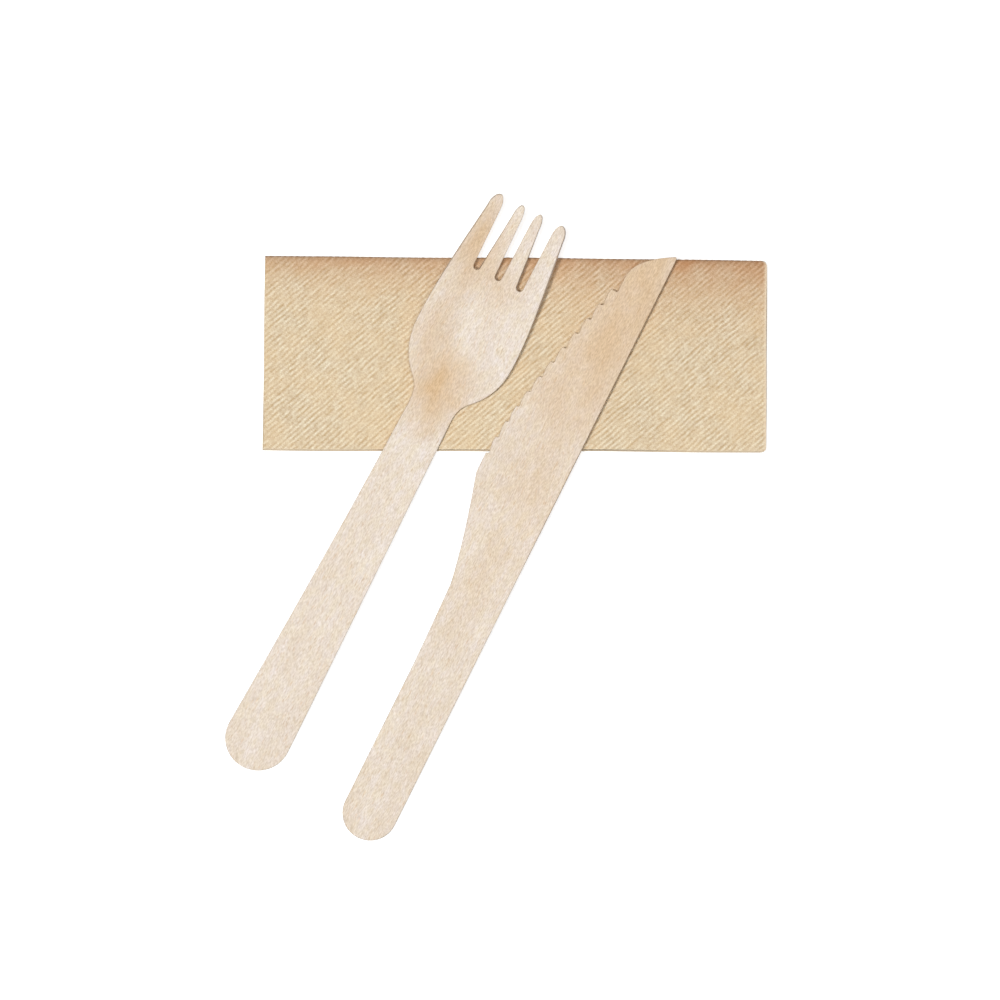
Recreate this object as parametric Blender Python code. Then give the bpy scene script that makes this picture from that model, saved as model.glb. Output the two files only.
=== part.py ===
"""A wooden fork and a wooden knife laid on a folded paper napkin, at rest, in metres with +Z up."""

import math

import bmesh
import bpy
from mathutils import Matrix, Vector

MM = 0.001

# The veneer that fork and knife are stamped from, and how they lie
VENEER = 1.7 * MM
RIM_EASE = 0.22 * MM
SEAT_GAP = 0.3 * MM
SLICE = 3.2 * MM
CROSS_SLICE = 2.7 * MM

# Fork, measured along its axis from the handle end and across it from the axis
FORK_LENGTH = 156.5 * MM
FORK_END_RADIUS = 8.2 * MM
FORK_NECK_WIDTH = 11.7 * MM
FORK_NECK_BLEND = 7.7 * MM
FORK_SHOULDER_LENGTH = 14.0 * MM
FORK_SHOULDER_START_WIDTH = 16.2 * MM
FORK_HEAD_WIDTH = 26.9 * MM
FORK_HEAD_LENGTH = 36.2 * MM
FORK_TIPS_WIDTH = 20.1 * MM

TINE_LENGTH = 19.5 * MM
TINE_POINT_LENGTH = 3.6 * MM
TINE_TIP_THICKNESS = 1.2 * MM
GAP_ROOT_WIDTH = 1.85 * MM
GAP_PITCH = 6.1 * MM
MIDDLE_GAP_MOUTH_WIDTH = 2.45 * MM
INNER_TINE_MOUTH_WIDTH = 2.55 * MM
SIDE_GAP_MOUTH_WIDTH = 3.4 * MM

FORK_ARCH = 2.8 * MM
FORK_ARCH_SHARE = 0.46
FORK_BOWL_SETBACK = 41.0 * MM
FORK_TIP_RISE = 4.6 * MM
FORK_TROUGH = 2.2 * MM
FORK_CROOK = 0.6 * MM

# Knife, measured the same way; its spine is straight and its teeth are on the other side
KNIFE_LENGTH = 165.0 * MM
KNIFE_HANDLE_WIDTH = 13.75 * MM
KNIFE_HANDLE_SWELL = 0.6 * MM
KNIFE_SWELL_LENGTH = 24.0 * MM
KNIFE_FLARE_LENGTH = 27.5 * MM
KNIFE_BLADE_WIDTH = 21.1 * MM
KNIFE_HEEL_LENGTH = 6.0 * MM
KNIFE_POINT_LENGTH = 10.4 * MM
KNIFE_POINT_STEP = 3.9 * MM
KNIFE_NOSE_WIDTH = 9.55 * MM
KNIFE_LAST_TOOTH_WIDTH = 11.3 * MM

TEETH = 12
TOOTH_PITCH = 4.57 * MM
TOOTH_STEP = 0.8 * MM
TOOTH_ROUND = 0.32 * MM
TOOTH_EDGE_THICKNESS = 0.9 * MM

KNIFE_ARCH = 0.6 * MM
KNIFE_FLAT_SHARE = 0.65
KNIFE_TIP_DROP = 1.4 * MM

# Napkin: one sheet halved over its right end, then rolled into five panels from bottom to top
NAPKIN_WIDTH = 125.6 * MM
NAPKIN_DEPTH = 48.3 * MM
PLY = 0.25 * MM
PLY_SLIT = 0.05 * MM
PANEL_SLIT = 0.05 * MM
FOLD_CLEARANCE = 0.15 * MM
FOLD_FULLNESS = 1.5
FREE_EDGE_SETBACK = 0.45 * MM
END_FOLD_SKEW = math.radians(0.2)

# Where the three lie, seen from above, in the napkin's own frame turned by its yaw
NAPKIN_YAW = math.radians(-0.56)
NAPKIN_PLACE = Vector((5.2 * MM, 40.3 * MM, 0.0))
FORK_YAW = math.radians(62.5)
FORK_END_PLACE = Vector((-62.9 * MM, -62.5 * MM, 0.0))
KNIFE_YAW = math.radians(63.5)
KNIFE_END_PLACE = Vector((-34.2 * MM, -80.2 * MM, 0.0))


# Sizes that follow from the ones above
STRIP = 2.0 * PLY + PLY_SLIT
LEVEL = STRIP + PANEL_SLIT
NAPKIN_THICKNESS = 4.0 * LEVEL + STRIP

FORK_NECK_AT = FORK_LENGTH - FORK_HEAD_LENGTH - FORK_SHOULDER_LENGTH - FORK_NECK_BLEND
FORK_SHOULDER_AT = FORK_NECK_AT + FORK_NECK_BLEND
FORK_WIDEST_AT = FORK_SHOULDER_AT + FORK_SHOULDER_LENGTH
FORK_BOWL_AT = FORK_LENGTH - FORK_BOWL_SETBACK
TINE_MOUTH_AT = FORK_LENGTH - TINE_POINT_LENGTH

KNIFE_SPINE = -KNIFE_HANDLE_WIDTH / 2.0
KNIFE_NOSE_AT = KNIFE_LENGTH - KNIFE_POINT_LENGTH
LAST_TOOTH_AT = KNIFE_NOSE_AT - KNIFE_POINT_STEP
FIRST_TOOTH_AT = LAST_TOOTH_AT - (TEETH - 1) * TOOTH_PITCH
KNIFE_HEEL_AT = FIRST_TOOTH_AT - KNIFE_HEEL_LENGTH
KNIFE_FLARE_AT = KNIFE_HEEL_AT - KNIFE_FLARE_LENGTH
KNIFE_SWELL_AT = KNIFE_FLARE_AT - KNIFE_SWELL_LENGTH


def eased(value):
    """A step from 0 to 1 with level ends."""
    share = min(max(value, 0.0), 1.0)
    return share * share * (3.0 - 2.0 * share)


def between(low, high, share):
    """The value at that share of the way from low to high."""
    return low + (high - low) * share


def curve_height(start, end, slope_start, slope_end, at):
    """The height at one place on the cubic from start to end with those slopes."""
    run = end[0] - start[0]
    f = (at - start[0]) / run
    a = 2.0 * f**3 - 3.0 * f**2 + 1.0
    b = f**3 - 2.0 * f**2 + f
    c = f**3 - f**2
    return a * start[1] + (1.0 - a) * end[1] + run * (b * slope_start + c * slope_end)


def curve(start, end, slope_start, slope_end, steps):
    """Points after start up to end on that cubic."""
    places = [between(start[0], end[0], k / steps) for k in range(1, steps + 1)]
    return [(at, curve_height(start, end, slope_start, slope_end, at)) for at in places]


def arc(centre, radius, first, last, steps):
    """Points of a circle from one angle to another, both ends included."""
    angles = [between(first, last, k / steps) for k in range(steps + 1)]
    return [(centre[0] + radius * math.cos(a), centre[1] + radius * math.sin(a)) for a in angles]


def rounded_tip(start, tip, end, steps):
    """Points round a tine's tip, from its outer side over the tip to its inner side."""
    points = []
    for k in range(1, steps + 1):
        angle = math.pi / 2.0 * k / steps
        points.append(
            (
                between(start[0], tip[0], math.sin(angle)),
                between(tip[1], start[1], math.cos(angle)),
            )
        )
    for k in range(1, steps + 1):
        angle = math.pi / 2.0 * k / steps
        points.append(
            (
                between(end[0], tip[0], math.cos(angle)),
                between(tip[1], end[1], math.sin(angle)),
            )
        )
    return points


# Fork blank


def fork_half():
    """The outline of one half of the fork, from the handle end round to the middle gap."""
    end = FORK_END_RADIUS
    handle = (end, end)
    neck = (FORK_NECK_AT, FORK_NECK_WIDTH / 2.0)
    shoulder = (FORK_SHOULDER_AT, FORK_SHOULDER_START_WIDTH / 2.0)
    widest = (FORK_WIDEST_AT, FORK_HEAD_WIDTH / 2.0)
    tips = (FORK_LENGTH, FORK_TIPS_WIDTH / 2.0)
    taper = (neck[1] - handle[1]) / (neck[0] - handle[0])
    side = arc((end, 0.0), end, math.pi, math.pi / 2.0, 10)
    side += curve(handle, neck, 1.2 * taper, 0.6 * taper, 12)
    side += curve(neck, shoulder, 0.0, 1.0, 6)
    side += curve(shoulder, widest, 1.0, 0.0, 9)
    side += [point for point in curve(widest, tips, 0.0, -0.11, 14) if point[0] < TINE_MOUTH_AT]

    root = FORK_LENGTH - TINE_LENGTH + GAP_ROOT_WIDTH / 2.0
    inner_edge = MIDDLE_GAP_MOUTH_WIDTH / 2.0
    outer_edge = inner_edge + INNER_TINE_MOUTH_WIDTH
    far_edge = outer_edge + SIDE_GAP_MOUTH_WIDTH
    rim_at_mouth = (TINE_MOUTH_AT, curve_height(widest, tips, 0.0, -0.11, TINE_MOUTH_AT))
    outer_tip = (FORK_LENGTH, between(far_edge, rim_at_mouth[1], 0.4))
    side += [rim_at_mouth]
    side += rounded_tip(rim_at_mouth, outer_tip, (TINE_MOUTH_AT, far_edge), 5)
    side += arc((root, GAP_PITCH), GAP_ROOT_WIDTH / 2.0, math.pi / 2.0, 1.5 * math.pi, 6)
    inner_tip = (FORK_LENGTH, (inner_edge + outer_edge) / 2.0)
    side += [(TINE_MOUTH_AT, outer_edge)]
    side += rounded_tip((TINE_MOUTH_AT, outer_edge), inner_tip, (TINE_MOUTH_AT, inner_edge), 5)
    side += arc((root, 0.0), GAP_ROOT_WIDTH / 2.0, math.pi / 2.0, math.pi, 3)
    return side


def fork_outline():
    """The whole outline, counter-clockwise from above."""
    half = fork_half()
    return half[::-1][:-1] + [(x, -y) for x, y in half][:-1]


def fork_height(x, y):
    """How high the middle of the pressed fork is over its blank."""
    crest = (FORK_BOWL_AT * FORK_ARCH_SHARE, FORK_ARCH)
    bowl = (FORK_BOWL_AT, 0.0)
    tips = (FORK_LENGTH, FORK_TIP_RISE)
    if x < crest[0]:
        rise = curve_height((0.0, 0.0), crest, 0.06, 0.0, x)
    elif x < bowl[0]:
        rise = curve_height(crest, bowl, 0.0, 0.0, x)
    else:
        rise = curve_height(bowl, tips, 0.0, 0.17, x)
    trough = eased((x - FORK_NECK_AT) / (FORK_WIDEST_AT - FORK_NECK_AT))
    return rise + FORK_TROUGH * trough * (y / (FORK_HEAD_WIDTH / 2.0)) ** 2


def fork_thickness(x, y):
    """The pressed thickness, which thins along the tines."""
    root = FORK_LENGTH - TINE_LENGTH
    return between(VENEER, TINE_TIP_THICKNESS, eased((x - root) / TINE_LENGTH))


# Knife blank


def toothed_edge():
    """The toothed edge from the heel to the last tooth; each tooth steps back on its tip side."""
    first = (FIRST_TOOTH_AT, KNIFE_SPINE + KNIFE_BLADE_WIDTH)
    last = (LAST_TOOTH_AT, KNIFE_SPINE + KNIFE_LAST_TOOTH_WIDTH)
    mean = (last[1] - first[1]) / (last[0] - first[0])
    points = []
    for k in range(TEETH):
        at = between(first[0], last[0], k / (TEETH - 1))
        top = curve_height(first, last, 0.3 * mean, 1.25 * mean, at)
        following = top - TOOTH_STEP
        if k < TEETH - 1:
            ahead = at + TOOTH_PITCH
            following = curve_height(first, last, 0.3 * mean, 1.25 * mean, ahead)
        else:
            following = KNIFE_SPINE + KNIFE_NOSE_WIDTH
        floor = min(top - TOOTH_STEP, following)
        point = (at - TOOTH_ROUND, top - TOOTH_ROUND)
        root = (at + TOOTH_ROUND, floor + TOOTH_ROUND)
        points += arc(point, TOOTH_ROUND, math.pi / 2.0, 0.0, 3)
        points += arc(root, TOOTH_ROUND, math.pi, 1.5 * math.pi, 3)
    return points


def knife_outline():
    """The whole outline, counter-clockwise from above, from the spine's tip corner."""
    spine = KNIFE_SPINE
    grip = spine + KNIFE_HANDLE_WIDTH
    swell = grip + KNIFE_HANDLE_SWELL
    heel = spine + KNIFE_BLADE_WIDTH
    radius = KNIFE_HANDLE_WIDTH / 2.0
    flare = (heel - swell) / KNIFE_FLARE_LENGTH

    edge = arc((radius, 0.0), radius, 1.5 * math.pi, math.pi / 2.0, 20)
    edge += curve((radius, grip), (KNIFE_SWELL_AT, grip), 0.0, 0.0, 6)
    edge += curve((KNIFE_SWELL_AT, grip), (KNIFE_FLARE_AT, swell), 0.0, 0.1 * flare, 5)
    corner = (KNIFE_HEEL_AT - 0.3 * MM, heel - 0.25 * MM)
    edge += curve((KNIFE_FLARE_AT, swell), corner, 0.64 * flare, 1.2 * flare, 7)
    edge += curve(corner, (KNIFE_HEEL_AT + 0.7 * MM, heel - 0.03 * MM), 1.1 * flare, 0.0, 3)
    edge += toothed_edge()

    nose = (KNIFE_NOSE_AT, spine + KNIFE_NOSE_WIDTH)
    tip = (KNIFE_LENGTH, spine + 0.5 * MM)
    reach = KNIFE_POINT_LENGTH
    handles = [
        nose,
        (nose[0] + 0.442 * reach, nose[1] + 0.05 * MM),
        (nose[0] + 0.731 * reach, between(tip[1], nose[1], 0.54)),
        tip,
    ]
    for k in range(11):
        f = k / 10.0
        weights = [(1 - f) ** 3, 3 * f * (1 - f) ** 2, 3 * f**2 * (1 - f), f**3]
        edge.append(tuple(sum(w * p[i] for w, p in zip(weights, handles)) for i in (0, 1)))
    edge.append((KNIFE_LENGTH - 0.2 * MM, spine + 0.12 * MM))
    edge.append((KNIFE_LENGTH - 0.7 * MM, spine))
    return edge[::-1]


def knife_height(x, y):
    """How high the middle of the knife is over its blank."""
    flat = (KNIFE_LENGTH * KNIFE_FLAT_SHARE, 0.0)
    crest = (flat[0] / 2.0, KNIFE_ARCH)
    tip = (KNIFE_LENGTH, -KNIFE_TIP_DROP)
    if x < crest[0]:
        return curve_height((0.0, 0.0), crest, 0.012, 0.0, x)
    if x < flat[0]:
        return curve_height(crest, flat, 0.0, -0.012, x)
    return curve_height(flat, tip, -0.012, -0.04, x)


def knife_thickness(x, y):
    """The pressed thickness, which thins over the blade towards the teeth."""
    blade = eased((x - KNIFE_FLARE_AT) / KNIFE_FLARE_LENGTH)
    mean = (KNIFE_LAST_TOOTH_WIDTH - KNIFE_BLADE_WIDTH) / (LAST_TOOTH_AT - FIRST_TOOTH_AT)
    edge = KNIFE_SPINE + KNIFE_BLADE_WIDTH + mean * max(x - FIRST_TOOTH_AT, 0.0)
    across = (y - KNIFE_SPINE) / (edge - KNIFE_SPINE)
    return between(VENEER, TOOTH_EDGE_THICKNESS, blade * eased((across - 0.45) / 0.6))


# Stamping and pressing


def stamped(outline):
    """A flat blank of veneer with that outline and an eased rim."""
    bm = bmesh.new()
    bottom = bm.faces.new([bm.verts.new((x, y, -VENEER / 2.0)) for x, y in outline])
    bm.normal_update()
    if bottom.normal.z > 0.0:
        bottom.normal_flip()
    raised = bmesh.ops.extrude_face_region(bm, geom=[bottom])["geom"]
    for vert in raised:
        if isinstance(vert, bmesh.types.BMVert):
            vert.co.z += VENEER
    bmesh.ops.recalc_face_normals(bm, faces=bm.faces[:])
    rim = [e for e in bm.edges if abs(e.verts[0].co.z - e.verts[1].co.z) < 1e-9]
    bmesh.ops.bevel(bm, geom=rim, offset=RIM_EASE, segments=1, profile=0.5, affect="EDGES")
    return bm


def sliced(bm, normal, spacing, first, last, beyond):
    """Cuts lines into the blank, so that it can bend, where it lies past beyond along x."""
    count = int((last - first) / spacing)
    for k in range(1, count):
        level = between(first, last, k / count)
        faces = [f for f in bm.faces if f.calc_center_median().x > beyond]
        parts = list({item for f in faces for item in (f, *f.edges, *f.verts)})
        spot = Vector(normal) * level
        bmesh.ops.bisect_plane(bm, geom=parts, plane_co=spot, plane_no=normal, dist=2e-5)


def pressed(bm, height, thickness, length, crook):
    """Bends the blank to the mould: each point goes to the height there and stays square to it.

    The crook is the slight edgewise bow that the dried veneer has, to the right at mid length.
    """
    step = 0.05 * MM
    for vert in bm.verts:
        x, y, z = vert.co
        along = (height(x + step, y) - height(x - step, y)) / (2.0 * step)
        across = (height(x, y + step) - height(x, y - step)) / (2.0 * step)
        normal = Vector((-along, -across, 1.0)).normalized()
        bow = -4.0 * crook * (x / length) * (1.0 - x / length)
        mould = Vector((x, y + bow, height(x, y)))
        vert.co = mould + normal * (z * thickness(x, y) / VENEER)


def material(name, colour, roughness):
    """A Principled material of one colour."""
    made = bpy.data.materials.new(name)
    made.use_nodes = True
    shader = made.node_tree.nodes["Principled BSDF"]
    shader.inputs["Base Color"].default_value = (*colour, 1.0)
    shader.inputs["Roughness"].default_value = roughness
    shader.inputs["Metallic"].default_value = 0.0
    made.diffuse_color = (*colour, 1.0)
    return made


def finished(bm, name, made_of):
    """Puts the solid in the scene as one object."""
    bmesh.ops.recalc_face_normals(bm, faces=bm.faces[:])
    mesh = bpy.data.meshes.new(name)
    bm.to_mesh(mesh)
    bm.free()
    mesh.materials.append(made_of)
    made = bpy.data.objects.new(name, mesh)
    bpy.context.scene.collection.objects.link(made)
    return made


# Napkin


def strip_section():
    """The halved sheet cut across: two plies joined by the fold at the right end."""
    half = NAPKIN_WIDTH / 2.0
    outer = STRIP / 2.0
    inner = PLY_SLIT / 2.0
    turn = (half - outer, 0.0)
    outside = arc(turn, outer, -math.pi / 2.0, math.pi / 2.0, 8)
    inside = arc(turn, inner, math.pi / 2.0, -math.pi / 2.0, 4)
    return [(-half, -outer), *outside, (-half, outer), (-half, inner), *inside, (-half, -inner)]


def fold(centre, reach, low, high, side, upward):
    """Path points round one fold, as half an ellipse between two levels."""
    middle = (low + high) / 2.0
    radius = (high - low) / 2.0
    points = []
    for k in range(9):
        angle = math.pi * (k / 8.0 - 0.5) * (1.0 if upward else -1.0)
        points.append((centre + side * reach * math.cos(angle), middle + radius * math.sin(angle)))
    return points


def roll_path():
    """The line (y, z) that the strip follows, from its free edge on top to its end inside."""
    level = [STRIP / 2.0 + k * LEVEL for k in range(5)]
    back = NAPKIN_DEPTH / 2.0
    front = -back
    outer_reach = FOLD_FULLNESS * 2.0 * LEVEL
    second_reach = FOLD_FULLNESS * 1.5 * LEVEL
    third_reach = FOLD_FULLNESS * LEVEL
    inside_back = back - STRIP - FOLD_CLEARANCE
    inside_front = front + STRIP + FOLD_CLEARANCE
    half = STRIP / 2.0
    path = [(front + FREE_EDGE_SETBACK, level[4])]
    path += fold(back - half - outer_reach, outer_reach, level[0], level[4], 1.0, False)
    path += fold(front + half + second_reach, second_reach, level[0], level[3], -1.0, True)
    path += fold(inside_back - half - third_reach, third_reach, level[1], level[3], 1.0, False)
    path += fold(inside_front + half + LEVEL / 2.0, LEVEL / 2.0, level[1], level[2], -1.0, True)
    path += [(inside_back - STRIP - 3.0 * FOLD_CLEARANCE, level[2])]
    return path


def path_normals(path):
    """The unit normal at each path point, halfway between the normals of its two runs."""
    runs = []
    for (y0, z0), (y1, z1) in zip(path, path[1:]):
        runs.append(Vector((y1 - y0, z1 - z0)).normalized())
    normals = []
    for k in range(len(path)):
        before = runs[max(k - 1, 0)]
        after = runs[min(k, len(runs) - 1)]
        ahead = (before + after).normalized()
        stretch = 1.0 / max(ahead.dot(after), 0.5)
        normals.append(Vector((-ahead.y, ahead.x)) * stretch)
    return normals


def folded_napkin():
    """The napkin as one closed body: the strip's section swept along the roll."""
    section = strip_section()
    path = roll_path()
    bm = bmesh.new()
    rings = []
    for (y, z), normal in zip(path, path_normals(path)):
        ring = []
        for x, offset in section:
            flare = 1.0 - y * math.tan(END_FOLD_SKEW) / (NAPKIN_WIDTH / 2.0)
            ring.append(bm.verts.new((x * flare, y + normal.x * offset, z + normal.y * offset)))
        rings.append(ring)
    for before, after in zip(rings, rings[1:]):
        for k in range(len(section)):
            n = (k + 1) % len(section)
            bm.faces.new((before[k], before[n], after[n], after[k]))
    bm.faces.new(rings[0][::-1])
    bm.faces.new(rings[-1])
    return bm


# Laying the pieces


def laid(piece, napkin, place, yaw):
    """Turns and tilts a piece: its handle end is on the table and its head on the napkin."""
    ground = Matrix.Translation(place) @ Matrix.Rotation(yaw, 4, "Z")
    to_napkin = napkin.matrix_world.inverted()
    reach_x = NAPKIN_WIDTH / 2.0
    reach_y = NAPKIN_DEPTH / 2.0
    low = 0.0
    high = math.radians(6.0)
    for _ in range(40):
        tilt = (low + high) / 2.0
        turned = ground @ Matrix.Rotation(-tilt, 4, "Y")
        over = math.inf
        table = math.inf
        for vert in piece.data.vertices:
            at = turned @ vert.co
            spot = to_napkin @ at
            table = min(table, at.z)
            if abs(spot.x) < reach_x and abs(spot.y) < reach_y + SLICE:
                over = min(over, at.z)
        if over - table < NAPKIN_THICKNESS + SEAT_GAP:
            low = tilt
        else:
            high = tilt
    piece.location = place - Vector((0.0, 0.0, table))
    piece.rotation_euler = turned.to_euler()


def centred(pieces):
    """Moves all pieces together, so that the set's box stands centred on the origin."""
    bpy.context.view_layer.update()
    points = [o.matrix_world @ v.co for o in pieces for v in o.data.vertices]
    low = [min(p[i] for p in points) for i in range(3)]
    high = [max(p[i] for p in points) for i in range(3)]
    shift = Vector(((low[0] + high[0]) / 2.0, (low[1] + high[1]) / 2.0, low[2]))
    for piece in pieces:
        piece.location = piece.location - shift


def main():
    for old in list(bpy.data.objects):
        bpy.data.objects.remove(old, do_unlink=True)

    tissue = material("Kraft_tissue", (0.745, 0.604, 0.412), 0.95)
    napkin = finished(folded_napkin(), "napkin", tissue)
    napkin.rotation_euler = (0.0, 0.0, NAPKIN_YAW)
    napkin.location = NAPKIN_PLACE
    bpy.context.view_layer.update()

    blank = stamped(fork_outline())
    sliced(blank, (1.0, 0.0, 0.0), SLICE, 0.0, FORK_LENGTH, -1.0)
    wide = FORK_HEAD_WIDTH / 2.0
    sliced(blank, (0.0, 1.0, 0.0), CROSS_SLICE, -wide, wide, FORK_NECK_AT)
    pressed(blank, fork_height, fork_thickness, FORK_LENGTH, FORK_CROOK)
    fork = finished(blank, "fork", material("Birch_fork", (0.807, 0.661, 0.479), 0.7))

    blank = stamped(knife_outline())
    sliced(blank, (1.0, 0.0, 0.0), SLICE, 0.0, KNIFE_LENGTH, -1.0)
    edge = KNIFE_SPINE + KNIFE_BLADE_WIDTH
    sliced(blank, (0.0, 1.0, 0.0), CROSS_SLICE, KNIFE_SPINE, edge, KNIFE_FLARE_AT)
    pressed(blank, knife_height, knife_thickness, KNIFE_LENGTH, 0.0)
    knife = finished(blank, "knife", material("Birch_knife", (0.791, 0.638, 0.456), 0.7))

    laid(fork, napkin, FORK_END_PLACE, FORK_YAW)
    laid(knife, napkin, KNIFE_END_PLACE, KNIFE_YAW)
    centred([napkin, fork, knife])


main()
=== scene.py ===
"""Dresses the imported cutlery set: a birch fork and knife on a folded, embossed paper napkin.

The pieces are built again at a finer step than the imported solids, from the same sizes, and stand
for them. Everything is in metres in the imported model's frame, with +Z up.
"""

import logging
import math
from dataclasses import dataclass, field
from enum import Enum
from functools import partial

import bmesh
import bpy
import numpy as np
from mathutils import Matrix, Vector


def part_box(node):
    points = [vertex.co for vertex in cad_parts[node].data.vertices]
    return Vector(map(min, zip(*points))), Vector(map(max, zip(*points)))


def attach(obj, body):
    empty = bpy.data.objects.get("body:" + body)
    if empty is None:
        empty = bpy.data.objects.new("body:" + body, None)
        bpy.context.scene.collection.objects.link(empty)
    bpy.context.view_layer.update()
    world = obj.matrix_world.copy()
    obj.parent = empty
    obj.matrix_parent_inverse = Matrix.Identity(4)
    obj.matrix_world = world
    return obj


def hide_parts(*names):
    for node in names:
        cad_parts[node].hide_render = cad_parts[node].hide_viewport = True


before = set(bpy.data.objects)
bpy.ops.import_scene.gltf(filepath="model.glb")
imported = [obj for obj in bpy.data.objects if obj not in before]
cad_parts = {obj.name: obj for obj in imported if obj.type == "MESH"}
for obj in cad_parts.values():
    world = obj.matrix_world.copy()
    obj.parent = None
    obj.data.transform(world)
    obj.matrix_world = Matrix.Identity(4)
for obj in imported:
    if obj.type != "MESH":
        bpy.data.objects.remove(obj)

LOG = logging.getLogger("cutlery_set")
MM = 0.001
RANGE_ENDS = ("From Min", "From Max", "To Min", "To Max")

Point = tuple[float, float]
Triple = tuple[float, float, float]
Colour = tuple[float, float, float, float]
Tree = bpy.types.NodeTree
Socket = bpy.types.NodeSocket
Sockets = bpy.types.bpy_prop_collection
BMesh = bmesh.types.BMesh


def linear(hex_colour: str) -> Colour:
    """Turns an sRGB hex colour into linear light.

    Args:
        hex_colour: The colour as "#rrggbb".

    Returns:
        Red, green, blue and an alpha of 1, in linear light.
    """
    parts = [int(hex_colour[i : i + 2], 16) / 255.0 for i in (1, 3, 5)]
    red, green, blue = (c / 12.92 if c <= 0.04045 else ((c + 0.055) / 1.055) ** 2.4 for c in parts)
    return (red, green, blue, 1.0)


def add_node(
    tree: Tree, kind: str, inputs: dict[int | str, object] | None = None, **settings: object
) -> Sockets:
    """Adds one node to a tree with its settings, values and incoming links.

    Args:
        tree: The material's or modifier's node tree.
        kind: The node's type name.
        inputs: What each input takes, by index or name: a socket is linked, a value is set.
        **settings: Properties of the node itself.

    Returns:
        The node's outputs.
    """
    node = tree.nodes.new(kind)
    for name, value in settings.items():
        setattr(node, name, value)
    for key, value in (inputs or {}).items():
        if isinstance(value, Socket):
            tree.links.new(value, node.inputs[key])
        else:
            node.inputs[key].default_value = value
    return node.outputs


def new_material(name: str, values: dict[str, object]) -> tuple[bpy.types.Material, Tree, Sockets]:
    """Makes a material with one Principled shader.

    Args:
        name: The material's name.
        values: The shader's constant inputs, by name.

    Returns:
        The material, its tree and the shader's inputs.
    """
    made = bpy.data.materials.new(name)
    made.use_nodes = True
    shader = made.node_tree.nodes["Principled BSDF"].inputs
    for socket, value in values.items():
        shader[socket].default_value = value
    return made, made.node_tree, shader


def put_in_scene(name: str, data: bpy.types.ID) -> bpy.types.Object:
    """Makes an object and links it to the scene.

    Args:
        name: The object's name.
        data: Its mesh, lamp or camera.

    Returns:
        The object.
    """
    made = bpy.data.objects.new(name, data)
    bpy.context.scene.collection.objects.link(made)
    return made


def between(low: float, high: float, share: float) -> float:
    """Returns the value at that share of the way from low to high."""
    return low + (high - low) * share


def eased(value: float) -> float:
    """Returns a step from 0 to 1 with level ends."""
    share = min(max(value, 0.0), 1.0)
    return share * share * (3.0 - 2.0 * share)


def curve_height(start: Point, end: Point, slopes: Point, at: float) -> float:
    """Reads a cubic at one place.

    Args:
        start: Where the cubic starts, as (along, height).
        end: Where it ends.
        slopes: Its slopes at the start and at the end.
        at: The place along it.

    Returns:
        The height there.
    """
    run = end[0] - start[0]
    f = (at - start[0]) / run
    a = 2.0 * f**3 - 3.0 * f**2 + 1.0
    b = f**3 - 2.0 * f**2 + f
    c = f**3 - f**2
    return a * start[1] + (1.0 - a) * end[1] + run * (b * slopes[0] + c * slopes[1])


def curve(start: Point, end: Point, slopes: Point, steps: int) -> list[Point]:
    """Returns points after start up to end on a cubic with those end slopes."""
    places = [between(start[0], end[0], k / steps) for k in range(1, steps + 1)]
    return [(at, curve_height(start, end, slopes, at)) for at in places]


def profile_height(knots: list[Triple], at: float) -> float:
    """Reads a chain of cubics at one place.

    Args:
        knots: Where the cubics start, meet and end, as (along, height, slope).
        at: The place along them.

    Returns:
        The height there.
    """
    k = next((k for k, knot in enumerate(knots[1:-1]) if at < knot[0]), len(knots) - 2)
    (start, low, first), (end, high, last) = knots[k : k + 2]
    return curve_height((start, low), (end, high), (first, last), at)


def arc(centre: Point, radius: float, first: float, last: float, steps: int) -> list[Point]:
    """Returns points of a circle from one angle to another, both ends included."""
    angles = [between(first, last, k / steps) for k in range(steps + 1)]
    return [(centre[0] + radius * math.cos(a), centre[1] + radius * math.sin(a)) for a in angles]


class Blend(Enum):
    """How a tint meets the colours under it."""

    COVER = "MIX"
    DARKEN = "MULTIPLY"


class FoldEdge(Enum):
    """The long edge of the napkin that a fold lies at, with its side of the middle."""

    BACK = 1.0
    FRONT = -1.0


@dataclass(frozen=True)
class Cells:
    """Noise whose cells have a real size, along the grain and across it."""

    along: float
    across: float
    detail: float = 1.0
    roughness: float = 0.6

    def noise(self, tree: Tree, place: Socket, seed: Socket | None = None) -> Socket:
        """Adds the noise to a tree.

        Args:
            tree: The material's or modifier's tree.
            place: The point that it is read at, in metres.
            seed: What gives another pattern of the same kind, if anything does.

        Returns:
            The noise, from 0 to 1.
        """
        scale = (1.0 / self.along, 1.0 / self.across, 1.0 / self.across)
        drawn = add_node(
            tree, "ShaderNodeVectorMath", {0: place, 1: scale}, operation="MULTIPLY"
        )[0]
        inputs = {"Vector": drawn, "Scale": 1.0, "Detail": self.detail}
        inputs["Roughness"] = self.roughness
        settings = {}
        if seed is not None:
            inputs["W"] = seed
            settings["noise_dimensions"] = "4D"
        return add_node(tree, "ShaderNodeTexNoise", inputs, **settings)[0]


@dataclass(frozen=True)
class Tint:
    """One colour over the colours under it, as strongly as a value says."""

    colour: str
    value: Socket
    taken: Point = (0.0, 1.0)
    share: Point = (0.0, 1.0)
    blend: Blend = Blend.COVER

    def over(self, tree: Tree, under: Colour | Socket) -> Socket:
        """Adds the tint to a material.

        Args:
            tree: The material's tree.
            under: The colour that it goes over.

        Returns:
            The two together.
        """
        ends = dict(zip(RANGE_ENDS, (*self.taken, *self.share)))
        share = add_node(tree, "ShaderNodeMapRange", {"Value": self.value} | ends)[0]
        return add_node(
            tree,
            "ShaderNodeMix",
            {0: share, 6: under, 7: linear(self.colour)},
            data_type="RGBA",
            blend_type=self.blend.value,
        )[2]


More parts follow.
